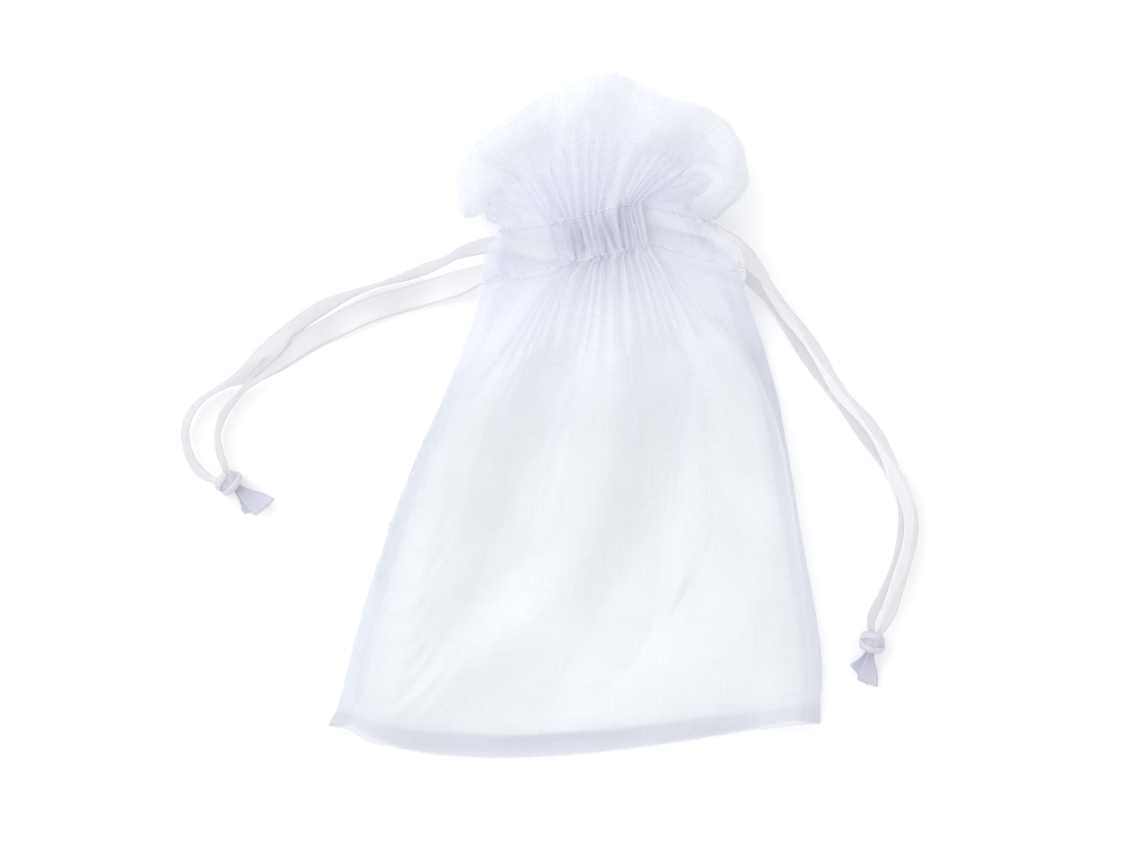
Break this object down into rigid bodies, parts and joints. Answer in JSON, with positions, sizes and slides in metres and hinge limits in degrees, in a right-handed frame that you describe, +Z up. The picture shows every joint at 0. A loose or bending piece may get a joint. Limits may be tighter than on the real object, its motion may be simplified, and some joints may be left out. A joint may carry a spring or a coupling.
{
  "type": "drawstring gift pouch",
  "caption": "Small sheer organza gift pouch lying flat, gathered shut at the neck by satin ribbon drawstrings, with a flared frill over the casing.",
  "frame": {"origin": "on the surface the pouch lies on, under the middle of the pouch's own box, its ribbons' free strands left out", "axes": "+Y from the bottom seam to the frill, +Z up from the surface, +X to the right seen from above with the frill away from the viewer"},
  "size_m": [0.1507, 0.1386, 0.014],
  "materials": {
    "sheer_organza": "sheer plain weave with a faint silky sheen",
    "seam_organza": "two sewn layers of sheer organza, slightly denser",
    "gathered_organza": "sheer organza in tight gathers, lavender-blue where layers stack",
    "frill_organza": "folded double layer of sheer organza",
    "sewing_thread": "white polyester sewing thread",
    "satin_ribbon": "white satin ribbon with a soft lengthwise shine"
  },
  "bodies": {
    "pouch": {"back_panel": "sheer_organza", "front_panel": "sheer_organza", "left_side_seam": "seam_organza", "right_side_seam": "seam_organza", "bottom_seam": "seam_organza", "front_casing": "gathered_organza", "back_casing": "gathered_organza", "left_front_sleeve": "gathered_organza", "left_back_sleeve": "gathered_organza", "right_front_sleeve": "gathered_organza", "right_back_sleeve": "gathered_organza", "front_frill": "frill_organza", "back_frill": "frill_organza", "lower_stitch_row": "sewing_thread", "upper_stitch_row": "sewing_thread", "left_ribbon_loop": "satin_ribbon", "right_ribbon_loop": "satin_ribbon"},
    "left_drawstring": {"left_upper_strand": "satin_ribbon", "left_lower_strand": "satin_ribbon", "left_knot": "satin_ribbon", "left_upper_tail": "satin_ribbon", "left_lower_tail": "satin_ribbon"},
    "right_drawstring": {"right_outer_strand": "satin_ribbon", "right_inner_strand": "satin_ribbon", "right_knot": "satin_ribbon", "right_outer_tail": "satin_ribbon", "right_inner_tail": "satin_ribbon"}
  },
  "joints": [
    {"name": "left_drawstring_pull", "type": "slide", "parent": "pouch", "child": "left_drawstring", "axis": [-0.9457, -0.3249, 0], "range_m": [0, 0.008]},
    {"name": "right_drawstring_pull", "type": "slide", "parent": "pouch", "child": "right_drawstring", "axis": [0.945, -0.327, 0], "range_m": [0, 0.008]}
  ]
}
